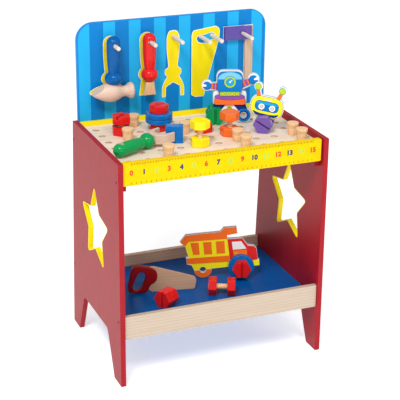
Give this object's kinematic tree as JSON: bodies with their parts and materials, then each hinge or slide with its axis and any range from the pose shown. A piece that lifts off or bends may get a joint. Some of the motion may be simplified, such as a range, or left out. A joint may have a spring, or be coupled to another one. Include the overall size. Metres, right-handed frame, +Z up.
{
  "type": "toy workbench",
  "caption": "Wooden toy workbench with star cut-outs in its side panels, a pegged tool board, a top of holes for pegs and bolts, a ruler apron and a shelf of bolt-together toys.",
  "frame": {"origin": "on the floor, at the middle of the bench's box", "axes": "+Z up, +Y towards the back board, +X to the right along the bench"},
  "size_m": [0.46, 0.3359, 0.7],
  "materials": {
    "panel_paint": "satin red paint",
    "yellow_paint": "satin yellow paint",
    "board_paint": "satin printed blue paint",
    "shelf_paint": "gloss blue paint",
    "pine": "clear satin lacquer on pine",
    "beech": "clear satin lacquer on beech",
    "toy_red": "semi-gloss red paint",
    "toy_blue": "semi-gloss blue paint",
    "toy_yellow": "semi-gloss yellow paint",
    "toy_orange": "semi-gloss orange paint",
    "toy_green": "semi-gloss green paint",
    "toy_purple": "semi-gloss purple paint",
    "printed_plywood": "satin print on plywood"
  },
  "bodies": {
    "bench": {"left_side_panel": "panel_paint", "right_side_panel": "panel_paint", "front_apron": "yellow_paint", "rear_top_rail": "yellow_paint", "back_board": "board_paint", "bench_top": "pine", "left_top_cleat": "panel_paint", "right_top_cleat": "panel_paint", "shelf_board": "shelf_paint", "shelf_front_rail": "pine", "shelf_back_rail": "pine", "hammer_peg": "pine", "screwdriver_peg": "pine", "pliers_peg": "pine", "saw_peg_left": "pine", "saw_peg_right": "pine", "square_peg": "pine"},
    "bench_peg_1": {"bench_peg_1": "beech"},
    "bench_peg_2": {"bench_peg_2": "beech"},
    "bench_peg_3": {"bench_peg_3": "beech"},
    "bench_peg_4": {"bench_peg_4": "beech"},
    "bench_peg_5": {"bench_peg_5": "beech"},
    "bench_peg_6": {"bench_peg_6": "beech"},
    "bench_peg_7": {"bench_peg_7": "beech"},
    "bench_peg_8": {"bench_peg_8": "beech"},
    "hammer": {"hammer_handle": "toy_blue", "hammer_head": "beech"},
    "screwdriver": {"screwdriver_handle": "toy_red", "screwdriver_blade": "beech"},
    "square": {"square_stock": "toy_purple", "square_blade": "beech"},
    "wrench": {"wrench_handle": "toy_green", "wrench_head": "beech"},
    "saw": {"saw_handle": "toy_red", "saw_blade": "beech"},
    "red_nut": {"red_nut": "toy_red"},
    "red_bolt": {"red_bolt": "toy_red"},
    "yellow_nut": {"yellow_nut": "toy_yellow"},
    "yellow_bolt": {"yellow_bolt": "toy_yellow"},
    "orange_nut": {"orange_nut": "toy_orange"},
    "orange_bolt": {"orange_bolt": "toy_orange"},
    "wheel_nut": {"wheel_nut": "toy_red"},
    "wheel_bolt": {"wheel_bolt": "toy_red"},
    "lower_blue_wheel": {"lower_blue_wheel": "toy_blue"},
    "upper_blue_wheel": {"upper_blue_wheel": "toy_blue"},
    "spare_red_nut": {"spare_red_nut": "toy_red"},
    "blue_block_nut": {"blue_block_nut": "toy_blue"},
    "big_robot": {"big_robot": "printed_plywood"},
    "green_bolt": {"green_bolt": "toy_green"},
    "green_nut": {"green_nut": "toy_green"},
    "small_robot": {"small_robot": "printed_plywood"},
    "purple_bolt": {"purple_bolt": "toy_purple"},
    "purple_nut": {"purple_nut": "toy_purple"},
    "truck": {"truck_body": "printed_plywood"},
    "truck_wheel": {"truck_wheel": "toy_blue"},
    "truck_bolt": {"truck_bolt": "toy_red"},
    "tight_pair_bolt": {"tight_pair_bolt": "toy_red"},
    "tight_pair_nut": {"tight_pair_nut": "toy_red"},
    "open_pair_bolt": {"open_pair_bolt": "toy_red"},
    "open_pair_nut": {"open_pair_nut": "toy_red"}
  },
  "joints": [
    {"name": "bench_peg_1_pull", "type": "slide", "parent": "bench", "child": "bench_peg_1", "axis": [0, 0, 1], "range_m": [0, 0.03]},
    {"name": "bench_peg_2_pull", "type": "slide", "parent": "bench", "child": "bench_peg_2", "axis": [0, 0, 1], "range_m": [0, 0.03]},
    {"name": "bench_peg_3_pull", "type": "slide", "parent": "bench", "child": "bench_peg_3", "axis": [0, 0, 1], "range_m": [0, 0.03]},
    {"name": "bench_peg_4_pull", "type": "slide", "parent": "bench", "child": "bench_peg_4", "axis": [0, 0, 1], "range_m": [0, 0.03]},
    {"name": "bench_peg_5_pull", "type": "slide", "parent": "bench", "child": "bench_peg_5", "axis": [0, 0, 1], "range_m": [0, 0.03]},
    {"name": "bench_peg_6_pull", "type": "slide", "parent": "bench", "child": "bench_peg_6", "axis": [0, 0, 1], "range_m": [0, 0.03]},
    {"name": "bench_peg_7_pull", "type": "slide", "parent": "bench", "child": "bench_peg_7", "axis": [0, 0, 1], "range_m": [0, 0.03]},
    {"name": "bench_peg_8_pull", "type": "slide", "parent": "bench", "child": "bench_peg_8", "axis": [0, 0, 1], "range_m": [0, 0.03]},
    {"name": "hammer_off_peg", "type": "slide", "parent": "bench", "child": "hammer", "axis": [0, -1, 0], "range_m": [0, 0.06]},
    {"name": "screwdriver_off_peg", "type": "slide", "parent": "bench", "child": "screwdriver", "axis": [0, -1, 0], "range_m": [0, 0.06]},
    {"name": "square_off_peg", "type": "slide", "parent": "bench", "child": "square", "axis": [0, -1, 0], "range_m": [0, 0.06]},
    {"name": "wrench_lift", "type": "slide", "parent": "bench", "child": "wrench", "axis": [0, 0, 1], "range_m": [0, 0.06]},
    {"name": "saw_lift", "type": "slide", "parent": "bench", "child": "saw", "axis": [0, 0, 1], "range_m": [0, 0.06]},
    {"name": "red_nut_turn", "type": "hinge", "parent": "bench", "child": "red_nut", "pos_m": [-0.14955, 0.04745, 0.486], "axis": [0, 0, 1], "range_deg": [-2040, 414]},
    {"name": "red_bolt_travel", "type": "slide", "parent": "bench", "child": "red_bolt", "axis": [0, 0, -1], "range_m": [-0.0341, 0.007]},
    {"name": "yellow_nut_turn", "type": "hinge", "parent": "bench", "child": "yellow_nut", "pos_m": [-0.02265, -0.07945, 0.486], "axis": [0, 0, 1], "range_deg": [-1260, 1188]},
    {"name": "yellow_bolt_travel", "type": "slide", "parent": "bench", "child": "yellow_bolt", "axis": [0, 0, -1], "range_m": [-0.0211, 0.0199]},
    {"name": "orange_nut_turn", "type": "hinge", "parent": "bench", "child": "orange_nut", "pos_m": [0.06195, -0.03715, 0.486], "axis": [0, 0, 1], "range_deg": [-1440, 1008]},
    {"name": "orange_bolt_travel", "type": "slide", "parent": "bench", "child": "orange_bolt", "axis": [0, 0, -1], "range_m": [-0.0241, 0.0169]},
    {"name": "wheel_nut_turn", "type": "hinge", "parent": "bench", "child": "wheel_nut", "pos_m": [-0.06495, 0.04745, 0.486], "axis": [0, 0, 1], "range_deg": [-1200, 0]},
    {"name": "wheel_bolt_travel", "type": "slide", "parent": "bench", "child": "wheel_bolt", "axis": [0, 0, -1], "range_m": [-0.0201, 0]},
    {"name": "lower_blue_wheel_spin", "type": "hinge", "parent": "bench", "child": "lower_blue_wheel", "pos_m": [-0.06495, 0.04745, 0.5], "axis": [0, 0, 1], "continuous": true},
    {"name": "upper_blue_wheel_spin", "type": "hinge", "parent": "bench", "child": "upper_blue_wheel", "pos_m": [-0.06495, 0.04745, 0.5], "axis": [0, 0, 1], "continuous": true},
    {"name": "spare_red_nut_lift", "type": "slide", "parent": "bench", "child": "spare_red_nut", "axis": [0, 0, 1], "range_m": [0, 0.05]},
    {"name": "blue_block_nut_lift", "type": "slide", "parent": "bench", "child": "blue_block_nut", "axis": [0, 0, 1], "range_m": [0, 0.05]},
    {"name": "big_robot_lift", "type": "slide", "parent": "bench", "child": "big_robot", "axis": [0, 0, 1], "range_m": [0, 0.06]},
    {"name": "green_bolt_draw", "type": "slide", "parent": "big_robot", "child": "green_bolt", "axis": [-0.3584, -0.9336, 0], "range_m": [0, 0.018]},
    {"name": "green_nut_draw", "type": "slide", "parent": "big_robot", "child": "green_nut", "axis": [0.3584, 0.9336, 0], "range_m": [0, 0.012]},
    {"name": "small_robot_lift", "type": "slide", "parent": "bench", "child": "small_robot", "axis": [0, 0, 1], "range_m": [0, 0.06]},
    {"name": "purple_bolt_draw", "type": "slide", "parent": "small_robot", "child": "purple_bolt", "axis": [-0.5299, -0.848, 0], "range_m": [0, 0.03]},
    {"name": "purple_nut_draw", "type": "slide", "parent": "small_robot", "child": "purple_nut", "axis": [0.5299, 0.848, 0], "range_m": [0, 0.014]},
    {"name": "truck_lift", "type": "slide", "parent": "bench", "child": "truck", "axis": [0, 0, 1], "range_m": [0, 0.06]},
    {"name": "truck_wheel_spin", "type": "hinge", "parent": "truck", "child": "truck_wheel", "pos_m": [0.10874, -0.00756, 0.1553], "axis": [-0.3256, -0.9455, 0], "continuous": true},
    {"name": "truck_bolt_turn", "type": "hinge", "parent": "truck", "child": "truck_bolt", "pos_m": [0.10874, -0.00756, 0.1553], "axis": [-0.3256, -0.9455, 0], "continuous": true},
    {"name": "tight_pair_lift", "type": "slide", "parent": "bench", "child": "tight_pair_bolt", "axis": [0, 0, 1], "range_m": [0, 0.06]},
    {"name": "tight_pair_nut_draw", "type": "slide", "parent": "tight_pair_bolt", "child": "tight_pair_nut", "axis": [0.848, 0.5299, 0], "range_m": [0, 0.024]},
    {"name": "open_pair_lift", "type": "slide", "parent": "bench", "child": "open_pair_bolt", "axis": [0, 0, 1], "range_m": [0, 0.06]},
    {"name": "open_pair_nut_draw", "type": "slide", "parent": "open_pair_bolt", "child": "open_pair_nut", "axis": [-0.8988, 0.4384, 0], "range_m": [-0.0225, 0.018]}
  ],
  "couplings": [
    {"joint": "red_bolt_travel", "follows": "red_nut_turn", "m_per_rad": 0.00095493},
    {"joint": "yellow_bolt_travel", "follows": "yellow_nut_turn", "m_per_rad": 0.00095493},
    {"joint": "orange_bolt_travel", "follows": "orange_nut_turn", "m_per_rad": 0.00095493},
    {"joint": "wheel_bolt_travel", "follows": "wheel_nut_turn", "m_per_rad": 0.00095493}
  ]
}
